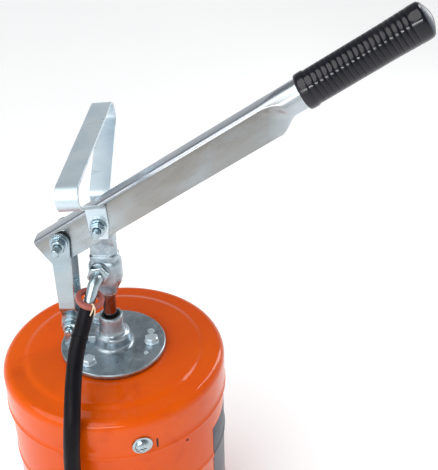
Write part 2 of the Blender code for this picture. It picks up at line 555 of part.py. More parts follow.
def lever():
    bm = bmesh.new()
    start, stop = LEVER_FLARE
    stations = [LEVER_TAIL, 60.0 * MM, start - 10.0 * MM]
    stations += [start + (stop - start) * i / 8.0 for i in range(9)] + [LEVER_TIP]
    sections = []
    for s in stations:
        f = min(max((s - start) / (stop - start), 0.0), 1.0)
        f = f * f * (3.0 - 2.0 * f)
        sections.append([lever_point(s, n, y) for y, n in offset_section(channel_section(f))])
    ends = skin(bm, sections)
    count = len(sections[0])
    for end in ends:
        for i in range(count // 2 - 1):
            bm.faces.new((end[i], end[i + 1], end[count - 2 - i], end[count - 1 - i]))
    body = finish_mesh("lever", bm, ZINC)
    drill(body, "lever_pivot_hole", lever_point(0.0, 0.0) - 20.0 * MM * NEAR, NEAR, M8_CLEAR, 40.0 * MM)
    drill(body, "lever_link_hole", LINK_TOP - 20.0 * MM * NEAR, NEAR, 6.4 * MM, 40.0 * MM)


def grip():
    low, high = GRIP_SPAN
    length = high - low
    r = GRIP_R
    outside = [(16.4 * MM, 0.0), (r + 0.6 * MM, 1.4 * MM), (r + 0.8 * MM, 3.5 * MM), (r + 0.6 * MM, 7.0 * MM),
               (r - 0.3 * MM, 9.0 * MM), (r - 0.3 * MM, length - 12.0 * MM),
               (r + 0.5 * MM, length - 10.5 * MM), (r + 0.5 * MM, length - 3.0 * MM),
               (r - 1.2 * MM, length - 0.4 * MM), (r - 3.0 * MM, length)]
    bore = LEVER_TUBE_R + 0.4 * MM
    inside = [(6.0 * MM, length - 8.0 * MM), (bore, length - 8.0 * MM), (bore, 0.0)]
    profile = outside + [(6.0 * MM, length)] + inside
    turned("grip", profile, GRIP_RUBBER, SEG_MEDIUM, closed=True,
           place=along(lever_point(low, LEVER_TUBE_UP), LEVER_DIR))


def handle_line(slope, corner):
    """Half of the carry handle's strip in its plane, as (out from the lever, up from the pivot)."""
    tab_y = CHANNEL_W / 2.0 + HANDLE_PLAY + HANDLE_T / 2.0
    top = HANDLE_TOP - HANDLE_T / 2.0
    reach = HANDLE_HALF - HANDLE_T / 2.0
    knee = 5.0 * MM
    half = [(tab_y, -15.5 * MM), (tab_y, 19.0 * MM)]
    half += arc((tab_y + knee, 19.0 * MM), knee, 180.0, 90.0 + slope, 4)[1:]
    half += arc((reach - corner, top - corner), corner, slope - 90.0, 90.0, 9)
    return half


def carry_handle():
    line = handle_line(24.0, 14.0 * MM) + [(-y, h) for y, h in reversed(handle_line(28.0, 11.5 * MM))]
    outer, inner = [], []
    for i, (y, h) in enumerate(line):
        ay, ah = line[max(i - 1, 0)]
        by, bh = line[min(i + 1, len(line) - 1)]
        size = sqrt((by - ay) ** 2 + (bh - ah) ** 2)
        ny, nh = (bh - ah) / size * HANDLE_T / 2.0, -(by - ay) / size * HANDLE_T / 2.0
        outer.append((y + ny, h + nh))
        inner.append((y - ny, h - nh))
    lean = Vector((-sin(HANDLE_LEAN), 0.0, cos(HANDLE_LEAN)))
    normal = Vector((cos(HANDLE_LEAN), 0.0, sin(HANDLE_LEAN)))
    frame = Matrix((Vector((0, 1, 0)), lean, normal)).transposed().to_4x4()
    frame.translation = Vector((0.0, 0.0, PIVOT_Z))
    strip = prism("carry_handle", outer + inner[::-1], HANDLE_W, ZINC, frame)
    drill(strip, "handle_hole", (0.0, 20.0 * MM, PIVOT_Z), NEAR, M8_CLEAR, 40.0 * MM)


# ---- link bars and pivot bolts ---------------------------------------------------------------
def link_bar(name, side):
    """One flat link bar. It stands outside the channel at its top and steps in to the lug at its foot."""
    thick, upper, lower = LINK_T, LINK_FACE, 7.0 * MM
    rise = (LINK_TOP - LINK_FOOT).length
    eye, waist, foot = 10.0 * MM, 8.2 * MM, 10.0 * MM
    rows = []
    for t in (-1.0, -0.92, -0.71, -0.38):
        rows.append((t * foot, sqrt(1.0 - t * t) * foot, lower))
    rows += [(0.0, foot, lower), (10.5 * MM, foot - 1.0 * MM, lower), (15.0 * MM, foot - 1.6 * MM, lower),
             (24.5 * MM, waist, upper), (28.0 * MM, waist, upper), (rise - 14.0 * MM, eye - 0.5 * MM, upper),
             (rise, eye, upper)]
    for t in (0.38, 0.71, 0.92, 1.0):
        rows.append((rise + t * eye, sqrt(1.0 - t * t) * eye, upper))
    bm = bmesh.new()
    up = (LINK_TOP - LINK_FOOT).normalized()
    across = Vector((up.z, 0.0, -up.x))
    sections = []
    for height, half, offset in rows:
        half = max(half, 1.0 * MM)
        base = LINK_FOOT + height * up
        near = Vector((0.0, side * offset, 0.0))
        far = Vector((0.0, side * (offset + thick), 0.0))
        sections.append((base - half * across + near, base + half * across + near,
                         base + half * across + far, base - half * across + far))
    for end in skin(bm, sections):
        bm.faces.new(end)
    bar = finish_mesh(name, bm, ZINC, 25.0)
    drill(bar, name + "_top_hole", LINK_TOP - 25.0 * MM * NEAR, NEAR, M8_CLEAR, 50.0 * MM)
    drill(bar, name + "_foot_hole", LINK_FOOT - 25.0 * MM * NEAR, NEAR, LINK_FOOT_HOLE, 50.0 * MM)


def cross_bolt(label, centre, grip_half, shank_end, washer_r=8.4 * MM):
    """Hex bolt from the far side with two washers and a nut on the near side."""
    frame = along(centre, NEAR)
    washer_t, nut_t = 1.6 * MM, 6.8 * MM
    near_face = grip_half + GAP
    for side, name in ((1.0, f"{label}_washer_near"), (-1.0, f"{label}_washer_far")):
        a, b = side * near_face, side * (near_face + washer_t)
        ring = [(M8_CLEAR, min(a, b)), (washer_r, min(a, b)), (washer_r, max(a, b)), (M8_CLEAR, max(a, b))]
        turned(name, ring, ZINC, SEG_RING, closed=True, place=frame)
    seat = near_face + washer_t + GAP
    nut = [(M8_CLEAR, seat), (6.1 * MM, seat), (M8_FLATS, seat + 0.6 * MM, 6),
           (M8_FLATS, seat + nut_t - 0.6 * MM, 6), (6.1 * MM, seat + nut_t), (M8_CLEAR, seat + nut_t)]
    turned(f"{label}_nut", nut, ZINC, SEG_SMALL, closed=True, place=frame, turn=radians(20.0))
    bolt = [(6.0 * MM, -seat - 5.3 * MM), (M8_FLATS, -seat - 4.6 * MM, 6), (M8_FLATS, -seat, 6),
            (M8_R, -seat), (M8_R, shank_end - 1.0 * MM), (M8_R - 0.8 * MM, shank_end)]
    turned(f"{label}_bolt", bolt, ZINC, SEG_SMALL, place=frame, turn=radians(5.0))


def linkage():
    link_bar("link_near", -1.0)
    link_bar("link_far", 1.0)
    tab = CHANNEL_W / 2.0 + HANDLE_PLAY + HANDLE_T
    cross_bolt("main_pivot", Vector((0.0, 0.0, PIVOT_Z)), tab, 32.0 * MM)
    cross_bolt("upper_link", LINK_TOP, LINK_FACE + LINK_T, 38.0 * MM, 9.0 * MM)
    cross_bolt("lower_link", LINK_FOOT, 10.0 * MM, 26.0 * MM, 9.8 * MM)
    half = LINK_FACE - GAP
    sleeve = [(M8_CLEAR, -half), (6.0 * MM, -half), (6.0 * MM, half), (M8_CLEAR, half)]
    turned("link_spacer", sleeve, STEEL, SEG_RING, closed=True, place=along(LINK_TOP, NEAR))


# ---- hose and its far end --------------------------------------------------------------------
def hanging_route():
    """The hose from its sleeve, out over the lid's edge and down in front of the bucket.

    Points relative to the lid's top, in millimetres; the last is where the bend to the coil starts.
    """
    points = [(-21.6, -63.0, 57.4), (-22.8, -69.0, 50.8), (-23.3, -77.0, 44.4), (-23.2, -86.0, 38.8),
              (-22.6, -96.0, 33.4), (-21.8, -106.0, 28.0), (-21.1, -115.0, 21.8), (-20.7, -122.5, 14.2),
              (-20.9, -128.0, 5.0), (-21.6, -131.6, -6.0), (-22.6, -133.6, -18.0), (-24.2, -135.2, -42.0),
              (-26.0, -137.4, -80.0), (-27.4, -140.0, -120.0), (-28.0, -142.2, -155.0)]
    return [Vector((x * MM, y * MM, LID_Z + z * MM)) for x, y, z in points]


def coil_start():
    """Height and place where the hose joins the coil, tangent to its top turn."""
    z = HOSE_R + 0.05 * MM + COIL_TURNS * COIL_PITCH
    return Vector((COIL_CENTRE.x, COIL_CENTRE.y + COIL_R, z))


def drop_bend():
    """From straight down into the coil's tangent, in the plane of the tangent."""
    join = coil_start()
    last = hanging_route()[-1]
    points = []
    for i in range(0, 9):
        angle = radians(90.0 * i / 8.0)
        x = last.x - DROP_BEND * (1.0 - cos(angle))
        z = join.z + DROP_BEND * (1.0 - sin(angle))
        y = last.y + (join.y - last.y) * (i / 8.0)
        points.append(Vector((x, y, z)))
    return points


def hose():
    upper = [RING_CENTRE + (SLEEVE_SPAN[1] + 4.0 * GAP) * LEG_DIR] + hanging_route()
    bend = [p for p in drop_bend() if p.x > COIL_CENTRE.x + COIL_CLEAR + 1.0 * MM]
    end = Vector((COIL_CENTRE.x + COIL_CLEAR, bend[-1].y, bend[-1].z))
    tube("hose", upper + bend[:-1] + [end], HOSE_R, HOSE_RUBBER, 12)
    top = coil_start().z + HOSE_R
    ring = [(COIL_R - HOSE_R, 0.0), (COIL_R + HOSE_R, 0.0), (COIL_R + HOSE_R, top), (COIL_R - HOSE_R, top)]
    turned("hose_coil", ring, HOSE_RUBBER, SEG_MEDIUM, closed=True, place=Matrix.Translation(COIL_CENTRE))


def far_end():
    """Straight tail of the hose, its sleeve, the rigid delivery tube and the grease coupler."""
    rest = HOSE_R + 0.05 * MM
    start = Vector((COIL_CENTRE.x, COIL_CENTRE.y - COIL_R, rest))
    ahead = Vector((1.0, 0.0, 0.0))
    tube("hose_tail", [start + COIL_CLEAR * ahead, start + (TAIL - GAP) * ahead], HOSE_R, HOSE_RUBBER, 12)
    frame = along(start + TAIL * ahead, ahead)
    sleeve = [(7.6 * MM, 0.0), (8.0 * MM, 0.8 * MM), (8.0 * MM, 26.0 * MM), (6.0 * MM, 28.0 * MM)]
    turned("hose_end_sleeve", sleeve, ZINC, SEG_SMALL, place=frame)
    pipe = [(5.0 * MM, 28.3 * MM), (5.0 * MM, 148.0 * MM)]
    turned("delivery_pipe", pipe, CHROME, SEG_SMALL, place=frame)
    coupler = [(7.0 * MM, 148.3 * MM), (7.5 * MM, 149.0 * MM, 6), (7.5 * MM, 158.0 * MM, 6),
               (7.0 * MM, 159.0 * MM), (7.6 * MM, 161.0 * MM), (7.6 * MM, 176.0 * MM), (6.0 * MM, 180.0 * MM),
               (2.8 * MM, 180.0 * MM), (2.8 * MM, 174.0 * MM), (0.6 * MM, 174.0 * MM)]
    turned("grease_coupler", coupler, ZINC, SEG_SMALL, place=frame)


def main():
    for old in list(bpy.data.objects):
        bpy.data.objects.remove(old, do_unlink=True)
    bucket()
    lid()
    lid_fasteners()
    lid_seal()
    flange()
    flange_fasteners()
    boss_seals()
    barrel()
    piston()
    follower()
    head()
    outlet()
    sealing_ring()
    lever()
    grip()
    carry_handle()
    linkage()
    hose()
    far_end()


main()
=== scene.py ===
import json
from math import cos, pi, radians, sin, sqrt

import bmesh
import bpy
from mathutils import Matrix, Vector, noise


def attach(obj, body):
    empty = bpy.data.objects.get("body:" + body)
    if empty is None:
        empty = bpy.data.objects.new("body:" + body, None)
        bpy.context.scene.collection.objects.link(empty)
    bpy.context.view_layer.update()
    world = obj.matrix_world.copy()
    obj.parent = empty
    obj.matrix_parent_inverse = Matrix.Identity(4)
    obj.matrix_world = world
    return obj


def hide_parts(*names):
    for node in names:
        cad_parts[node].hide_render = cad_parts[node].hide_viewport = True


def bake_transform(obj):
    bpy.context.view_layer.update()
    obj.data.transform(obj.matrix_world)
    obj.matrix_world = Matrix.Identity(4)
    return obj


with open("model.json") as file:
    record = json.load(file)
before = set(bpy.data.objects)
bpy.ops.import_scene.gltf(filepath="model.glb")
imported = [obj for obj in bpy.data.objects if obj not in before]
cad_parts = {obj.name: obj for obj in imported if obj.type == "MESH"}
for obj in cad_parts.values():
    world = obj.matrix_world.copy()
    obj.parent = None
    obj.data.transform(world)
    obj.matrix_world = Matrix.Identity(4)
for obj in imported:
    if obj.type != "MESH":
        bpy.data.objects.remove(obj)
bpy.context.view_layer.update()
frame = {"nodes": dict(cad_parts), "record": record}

MM = 0.001
NODES = frame["nodes"]

# A bucket grease pump: finer pieces and materials round the CAD frame. Lengths are in metres.

# ---- places that repeat the CAD's dimensions --------------------------------------------------
BUCKET_R, BUCKET_SHEET, BUCKET_TOP = 119.0 * MM, 1.5 * MM, 287.0 * MM
BEAD_HEIGHTS = (95.0 * MM, 185.0 * MM)
BEAD_OUT, BEAD_HALF, BEAD_MARGIN = 1.2 * MM, 4.0 * MM, 5.0 * MM
LID_Z = 300.0 * MM
LID_R, LID_BAND, LID_HEM, LID_SHOULDER = 121.0 * MM, LID_Z - 2.5 * MM, LID_Z - 50.0 * MM, 10.0 * MM
FLANGE_TOP = LID_Z + 7.0 * MM

PIVOT = Vector((0.0, 0.0, 462.8 * MM))
LINK_FOOT = Vector((-42.0 * MM, 0.0, 336.0 * MM))
TILT = radians(33.4)
LEVER_DIR = Vector((cos(TILT), 0.0, sin(TILT)))
LEVER_UP = Vector((-sin(TILT), 0.0, cos(TILT)))
LEVER_HALF_W, LEVER_TOP, LEVER_LOW = 11.2 * MM, 19.2 * MM, -15.9 * MM
LEVER_BEND, LEVER_SHEET = 5.0 * MM, 2.3 * MM
TUBE_R, TUBE_N = 15.0 * MM, 5.7 * MM
GRIP_START = 238.0 * MM
HANDLE_THICK, HANDLE_WIDE, HANDLE_LEAN = 2.6 * MM, 20.8 * MM, radians(4.0)
HANDLE_TOP, HANDLE_REACH, HANDLE_GAP = 88.0 * MM, 100.0 * MM, 11.5 * MM

RING_CENTRE = Vector((-10.4 * MM, -40.0 * MM, LID_Z + 93.3 * MM))
LEG_DIR = Vector((-0.25, -0.52, -0.82)).normalized()
HOSE_R, HOSE_START = 8.25 * MM, 41.2 * MM
COIL_R, COIL_TURNS, COIL_PITCH = 93.0 * MM, 2.5, 17.0 * MM
COIL_CENTRE = Vector((-105.0 * MM, -236.0 * MM, 0.0))
TAIL = 80.0 * MM
DROP_BEND = 70.0 * MM
FLOOR_GAP = 0.05 * MM


# ---- node materials ---------------------------------------------------------------------------
MIX_FACTOR, MIX_FIRST, MIX_SECOND, MIX_RESULT = 0, 6, 7, 2    # the Mix node's sockets for colours


class Surface:
    """A Principled material with noise-driven colour, roughness and bump in object coordinates."""

    def __init__(self, name, colour, roughness, metallic=0.0, **sockets):
        self.mat = bpy.data.materials.new(name)
        self.mat.use_nodes = True
        self.tree = self.mat.node_tree
        self.shader = self.tree.nodes["Principled BSDF"]
        self.shader.inputs["Base Color"].default_value = (*colour, 1.0)
        self.shader.inputs["Roughness"].default_value = roughness
        self.shader.inputs["Metallic"].default_value = metallic
        for socket, value in sockets.items():
            self.shader.inputs[socket.replace("_", " ")].default_value = value
        self.mat.diffuse_color = (*colour, 1.0)
        self.coords = self.tree.nodes.new("ShaderNodeTexCoord").outputs["Object"]
        self.height = None

    def node(self, kind, **settings):
        """A new node, with its settings."""
        made = self.tree.nodes.new(kind)
        for key, value in settings.items():
            setattr(made, key, value)
        return made

    def link(self, a, b):
        self.tree.links.new(a, b)

    def space(self, stretch=(1, 1, 1), tilt=0.0):
        """Object coordinates, turned about Y and stretched, so a grain can run along a piece."""
        turn = self.node("ShaderNodeMapping")
        turn.inputs["Rotation"].default_value = (0.0, tilt, 0.0)
        size = self.node("ShaderNodeMapping")
        size.inputs["Scale"].default_value = stretch
        self.link(self.coords, turn.inputs["Vector"])
        self.link(turn.outputs["Vector"], size.inputs["Vector"])
        return size.outputs["Vector"]

    def grain(self, scale, detail=4.0, rough=0.55, stretch=(1, 1, 1), tilt=0.0, distort=0.0):
        tex = self.node("ShaderNodeTexNoise")
        self.link(self.space(stretch, tilt), tex.inputs["Vector"])
        tex.inputs["Scale"].default_value = scale
        tex.inputs["Detail"].default_value = detail
        tex.inputs["Roughness"].default_value = rough
        tex.inputs["Distortion"].default_value = distort
        return tex.outputs["Fac"]

    def cells(self, scale, feature="F1", stretch=(1, 1, 1), tilt=0.0):
        tex = self.node("ShaderNodeTexVoronoi", feature=feature)
        self.link(self.space(stretch, tilt), tex.inputs["Vector"])
        tex.inputs["Scale"].default_value = scale
        return tex.outputs["Color" if feature == "F1" else "Distance"]

    def ramp(self, factor, low, high, start=0.0, stop=1.0):
        """From start to stop as factor goes from low to high."""
        spread = self.node("ShaderNodeMapRange")
        self.link(factor, spread.inputs["Value"])
        for socket, value in (("From Min", low), ("From Max", high), ("To Min", start), ("To Max", stop)):
            spread.inputs[socket].default_value = value
        return spread.outputs["Result"]

    def tint(self, factor, colour, low=0.4, high=0.65, strength=1.0):
        """Mix another colour in where factor is high."""
        target = self.shader.inputs["Base Color"]
        blend = self.node("ShaderNodeMix", data_type="RGBA")
        if target.links:
            self.link(target.links[0].from_socket, blend.inputs[MIX_FIRST])
        else:
            blend.inputs[MIX_FIRST].default_value = target.default_value
        blend.inputs[MIX_SECOND].default_value = (*colour, 1.0)
        self.link(self.ramp(factor, low, high, 0.0, strength), blend.inputs[MIX_FACTOR])
        self.link(blend.outputs[MIX_RESULT], target)
        return self

    def polish(self, factor, smooth, rough):
        """Roughness runs from smooth to rough with factor."""
        self.link(self.ramp(factor, 0.3, 0.7, smooth, rough), self.shader.inputs["Roughness"])
        return self

    def slope(self, axis, low, high, tilt=0.0):
        """0 to 1 along one axis of the object, which may be turned about Y."""
        split = self.node("ShaderNodeSeparateXYZ")
        self.link(self.space(tilt=tilt), split.inputs["Vector"])
        return self.ramp(split.outputs[axis], low, high)

    def relief(self, factor, depth, strength=1.0):
        """Add a bump of the given depth to the ones already there."""
        bump = self.node("ShaderNodeBump")
        bump.inputs["Strength"].default_value = strength
        bump.inputs["Distance"].default_value = depth
        self.link(factor, bump.inputs["Height"])
        if self.height:
            self.link(self.height, bump.inputs["Normal"])
        self.height = bump.outputs["Normal"]
        self.link(self.height, self.shader.inputs["Normal"])
        return self


def orange_paint():
    """Glossy orange with slow colour drift, darker clouds and a fine orange peel."""
    s = Surface("orange_paint_finish", (0.72, 0.082, 0.0005), 0.14, 0.0, Coat_Weight=0.3,
                Coat_Roughness=0.03, Specular_IOR_Level=0.16)
    s.tint(s.grain(6.0, 3.0), (0.80, 0.115, 0.0005), 0.42, 0.68)
    s.tint(s.grain(38.0, 5.0, distort=0.6), (0.56, 0.050, 0.0005), 0.58, 0.78, strength=0.5)
    s.polish(s.grain(55.0, 4.0), 0.12, 0.26)
    s.relief(s.grain(420.0, 2.0), 0.00006, 0.5)
    s.relief(s.grain(22.0, 2.0), 0.0006, 0.25)
    return s.mat


def zinc_plate(name="zinc_finish", base=(0.46, 0.56, 0.61), rough=0.26, stain=0.3,
               brown=(0.47, 0.44, 0.40), tilt=0.0, metal=1.0):
    """Plated zinc with blue and brown clouds and rolling marks; returned open, so more can be added."""
    s = Surface(name, base, rough, metal)
    blue = tuple(c * k for c, k in zip(base, (0.78, 0.84, 0.88)))
    s.tint(s.grain(14.0, 4.0, distort=0.8), blue, 0.42, 0.66)
    s.tint(s.grain(9.0, 3.0, stretch=(1, 1, 2.2), tilt=tilt), brown, 0.44, 0.62, strength=stain)
    s.tint(s.grain(120.0, 3.0), tuple(c * 0.70 for c in base), 0.60, 0.80, strength=0.25)
    s.polish(s.grain(46.0, 5.0, stretch=(0.35, 1, 1.6), tilt=tilt), rough - 0.07, rough + 0.1)
    s.relief(s.grain(640.0, 3.0, stretch=(0.12, 1, 1), tilt=tilt), 0.00005, 0.45)
    s.relief(s.grain(70.0, 3.0), 0.0002, 0.25)
    return s


def lever_zinc():
    """Zinc that is bright at the pivot end and darker grey past it, with grey-brown smoke along the wall
    towards the grip and a lighter band near the grip; painted shade darkens the wall towards its top and a
    painted reflection lightens the top face.
    """
    s = zinc_plate("lever_zinc_finish", (0.50, 0.56, 0.60), 0.24, 0.85, (0.34, 0.31, 0.27), TILT)
    past_pivot = s.slope("X", -0.02, 0.07)
    s.tint(past_pivot, (0.30, 0.31, 0.315), 0.0, 1.0, strength=0.75)
    smoke = s.grain(30.0, 5.0, stretch=(0.5, 1, 1.5), tilt=TILT)
    s.tint(smoke, (0.26, 0.235, 0.20), 0.50, 0.70, strength=0.6)
    # painted shade: the wall darkens in grey-brown towards its rounded top edge
    painted_shade_upper_wall = s.slope("Z", 0.380, 0.400, TILT)
    s.tint(painted_shade_upper_wall, (0.24, 0.225, 0.205), 0.0, 1.0, strength=0.55)
    # painted reflection: the top face is lightened as if it mirrored the pale room
    painted_reflection_top_face = s.slope("Z", 0.4015, 0.4035, TILT)
    s.tint(painted_reflection_top_face, (0.50, 0.54, 0.60), 0.0, 1.0, strength=0.8)
    near_grip = s.slope("X", 0.165, 0.19)
    s.tint(near_grip, (0.52, 0.58, 0.62), 0.0, 1.0, strength=0.8)
    return s.mat


def cast_metal():
    """Dull cast zinc: crystal patches, dark stains and a grainy skin."""
    s = Surface("cast_zinc_finish", (0.38, 0.45, 0.50), 0.36, 1.0)
    s.tint(s.cells(170.0), (0.52, 0.60, 0.65), 0.35, 0.85, strength=0.6)
    s.tint(s.grain(60.0, 5.0, distort=1.2), (0.24, 0.285, 0.32), 0.50, 0.72, strength=0.8)
    s.tint(s.grain(18.0, 3.0), (0.48, 0.55, 0.59), 0.5, 0.7, strength=0.6)
    s.polish(s.grain(90.0, 5.0), 0.24, 0.50)
    s.relief(s.grain(260.0, 4.0), 0.00022, 0.5)
    s.relief(s.cells(170.0, "SMOOTH_F1"), 0.0002, 0.2)
    return s.mat


def chrome():
    """The piston rod's polish, brown with grease."""
    s = Surface("chrome_finish", (0.20, 0.165, 0.155), 0.08, 1.0)
    s.tint(s.grain(30.0, 3.0, stretch=(1, 1, 0.25)), (0.14, 0.10, 0.09), 0.48, 0.72, strength=0.6)
    s.polish(s.grain(90.0, 3.0, stretch=(1, 1, 0.3)), 0.05, 0.16)
    s.relief(s.grain(900.0, 2.0, stretch=(1, 1, 6)), 0.00002, 0.3)
    return s.mat


def plain_steel():
    """Bare steel inside the pump."""
    s = Surface("steel_finish", (0.46, 0.47, 0.49), 0.35, 1.0)
    s.tint(s.grain(40.0, 4.0), (0.34, 0.34, 0.35), 0.48, 0.72)
    s.polish(s.grain(80.0, 4.0), 0.26, 0.46)
    s.relief(s.grain(500.0, 3.0), 0.00006, 0.4)
    return s.mat


def brass():
    """Brass with darker tarnish."""
    s = Surface("brass_finish", (0.70, 0.50, 0.22), 0.30, 1.0)
    s.tint(s.grain(35.0, 4.0), (0.52, 0.34, 0.13), 0.48, 0.72)
    s.polish(s.grain(70.0, 4.0), 0.22, 0.42)
    s.relief(s.grain(420.0, 3.0), 0.00005, 0.4)
    return s.mat


def rubber(name, colour, dust, rough, shine):
    """Moulded rubber with patches of paler dust."""
    s = Surface(name, colour, rough, 0.0, Specular_IOR_Level=shine)
    s.tint(s.grain(26.0, 4.0), dust, 0.46, 0.74, strength=0.6)
    s.tint(s.grain(210.0, 3.0), dust, 0.60, 0.80, strength=0.45)
    s.polish(s.grain(60.0, 4.0), rough - 0.07, rough + 0.12)
    s.relief(s.grain(900.0, 2.0), 0.00002, 0.5)
    return s.mat


def twine_finish():
    """Cream fibres with a little fuzz."""
    s = Surface("twine_finish", (0.84, 0.60, 0.36), 0.75, 0.0, Sheen_Weight=0.4)
    s.tint(s.grain(500.0, 3.0), (0.95, 0.80, 0.62), 0.45, 0.62)
    s.relief(s.grain(1500.0, 2.0), 0.0002, 0.7)
    return s.mat


def label_finish():
    """Blank dark label: a mottled satin film."""
    s = Surface("label_finish", (0.050, 0.060, 0.085), 0.35, 0.0, Specular_IOR_Level=0.4)
    s.tint(s.grain(30.0, 3.0), (0.08, 0.092, 0.12), 0.45, 0.7)
    s.relief(s.grain(300.0, 2.0), 0.00005, 0.4)
    return s.mat


def shadow_finish():
    """Near-black inside of a punched mark."""
    s = Surface("shadow_finish", (0.03, 0.012, 0.008), 0.7)
    s.tint(s.grain(300.0), (0.06, 0.02, 0.01))
    return s.mat


def floor_finish():
    """Pale studio floor with a faint glow, so it stays near white."""
    s = Surface("floor_finish", (0.93, 0.93, 0.93), 0.65, Emission_Color=(1, 1, 1, 1),
                Emission_Strength=0.23)
    s.tint(s.grain(0.8, 2.0), (0.96, 0.96, 0.955), 0.4, 0.6)
    return s.mat


ORANGE, ZINC, CAST, CHROME = orange_paint(), zinc_plate().mat, cast_metal(), chrome()
# pale zinc of the carry handle; on the flange screws and the casting bosses it is a painted highlight
HANDLE_ZINC_AND_PAINTED_HIGHLIGHT = zinc_plate("handle_zinc_and_painted_highlight_finish", (0.70, 0.80, 0.86), 0.32, 0.2, (0.62, 0.68, 0.72),
                         metal=0.6).mat
LEVER_ZINC = lever_zinc()
STEEL, BRASS = plain_steel(), brass()
GRIP = rubber("grip_finish", (0.004, 0.004, 0.009), (0.014, 0.013, 0.022), 0.14, 0.5)
HOSE = rubber("hose_finish", (0.005, 0.005, 0.007), (0.010, 0.008, 0.012), 0.42, 0.12)
CAP = rubber("cap_finish", (0.085, 0.095, 0.12), (0.12, 0.13, 0.16), 0.40, 0.4)
SEAL = rubber("seal_finish", (0.018, 0.018, 0.018), (0.035, 0.035, 0.035), 0.55, 0.4)
RED = rubber("red_ring_finish", (0.33, 0.075, 0.06), (0.45, 0.14, 0.11), 0.42, 0.5)
TWINE, LABEL = twine_finish(), label_finish()
BY_SLOT = {"orange_paint": ORANGE, "zinc_plate": ZINC, "cast_zinc": CAST, "chrome": CHROME,
           "plain_steel": STEEL, "brass": BRASS, "grip_rubber": GRIP, "hose_rubber": HOSE,
           "seal_rubber": SEAL, "red_ring": RED}


# ---- helpers ----------------------------------------------------------------------------------
def piece(name, bm, mat, body, stands_for=(), smooth_angle=40.0):
    """Turn a bmesh into a named piece that rides on a body and may stand for CAD nodes."""
    bmesh.ops.recalc_face_normals(bm, faces=bm.faces)
    for face in bm.faces:
        face.smooth = True
    for edge in bm.edges:
        edge.smooth = edge.calc_face_angle(0.0) < radians(smooth_angle)
    mesh = bpy.data.meshes.new(name)
    bm.to_mesh(mesh)
    bm.free()
    mesh.materials.append(mat)
    obj = bpy.data.objects.new(name, mesh)
    bpy.context.scene.collection.objects.link(obj)
    if body:
        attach(obj, body)
    if stands_for:
        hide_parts(*stands_for)
    return obj


def rounded(obj, width, segments=2, angle=35.0):
    """Bevel the sharp edges of a piece."""
    step = obj.modifiers.new("round", "BEVEL")
    step.width, step.segments = width, segments
    step.limit_method, step.angle_limit = "ANGLE", radians(angle)
    return obj


def in_mm(pairs):
    """Pairs written in millimetres, as metres."""
    return [(a * MM, b * MM) for a, b in pairs]


def along(origin, direction):
    """A frame at origin whose Z runs along direction."""
    z_axis = Vector(direction).normalized()
    hint = Vector((0.0, 0.0, 1.0)) if abs(z_axis.z) < 0.99 else Vector((1.0, 0.0, 0.0))
    x_axis = (hint - hint.dot(z_axis) * z_axis).normalized()
    turned = Matrix((x_axis, z_axis.cross(x_axis), z_axis)).transposed().to_4x4()
    turned.translation = Vector(origin)
    return turned


def skin(bm, sections, caps=False):
    """Loft through sections of equal length."""
    loops = [[bm.verts.new(p) for p in section] for section in sections]
    count = len(loops[0])
    for a, b in zip(loops, loops[1:]):
        for i in range(count):
            j = (i + 1) % count
            bm.faces.new((a[i], a[j], b[j], b[i]))
    if caps:
        bm.faces.new(loops[0])
        bm.faces.new(loops[-1])
    return loops


def lathe(bm, profile, segments=96, place=None, closed=True):
    """Turn a profile of (radius, height) about Z; an open one gets flat ends."""
    turns = [2.0 * pi * i / segments for i in range(segments)]
    sections = [[Vector((r * cos(t), r * sin(t), z)) for r, z in profile] for t in turns]
    if place:
        sections = [[place @ p for p in section] for section in sections]
    loops = [[bm.verts.new(p) for p in section] for section in sections]
    count = len(profile)
    steps = count if closed else count - 1
    for k in range(segments):
        a, b = loops[k], loops[(k + 1) % segments]
        for i in range(steps):
            j = (i + 1) % count
            bm.faces.new((a[i], b[i], b[j], a[j]))
    if not closed:
        bm.faces.new([loop[0] for loop in loops])
        bm.faces.new([loop[-1] for loop in loops])


def arc(cx, cy, radius, start, stop, steps):
    """Points of an arc about (cx, cy), with its angles in degrees."""
    turns = [radians(start + (stop - start) * i / steps) for i in range(steps + 1)]
    return [(cx + radius * cos(t), cy + radius * sin(t)) for t in turns]


def polar(radius, angle, z):
    """A point from its radius, its angle in degrees and its height."""
    return Vector((radius * cos(radians(angle)), radius * sin(radians(angle)), z))


def offset_sides(line, gap):
    """The two lines that run at gap to either side of a flat line of points."""
    left, right = [], []
    for i, (x, y) in enumerate(line):
        ax, ay = line[max(i - 1, 0)]
        bx, by = line[min(i + 1, len(line) - 1)]
        size = sqrt((bx - ax) ** 2 + (by - ay) ** 2)
        nx, ny = (by - ay) / size * gap, -(bx - ax) / size * gap
        left.append((x - nx, y - ny))
        right.append((x + nx, y + ny))
    return left, right


def frames(points):
    """A twist-free frame at each point of a path."""
    tangents = []
    for i in range(len(points)):
        tangents.append((points[min(i + 1, len(points) - 1)] - points[max(i - 1, 0)]).normalized())
    side = Vector((0.0, 0.0, 1.0)).cross(tangents[0])
    side = side.normalized() if side.length > 0.01 else Vector((1.0, 0.0, 0.0))
    out = []
    for tangent in tangents:
        side = (side - side.dot(tangent) * tangent).normalized()
        out.append((side, tangent.cross(side)))
    return out


def pipe(bm, points, radius, sides=20, bulge=None):
    """A round bar along points; bulge(i) gives a radius at each point."""
    sections = []
    for i, (point, (a, b)) in enumerate(zip(points, frames(points))):
        r = bulge(i) if bulge else radius
        turns = [2.0 * pi * k / sides for k in range(sides)]
        sections.append([point + r * (cos(t) * a + sin(t) * b) for t in turns])
    skin(bm, sections, caps=True)


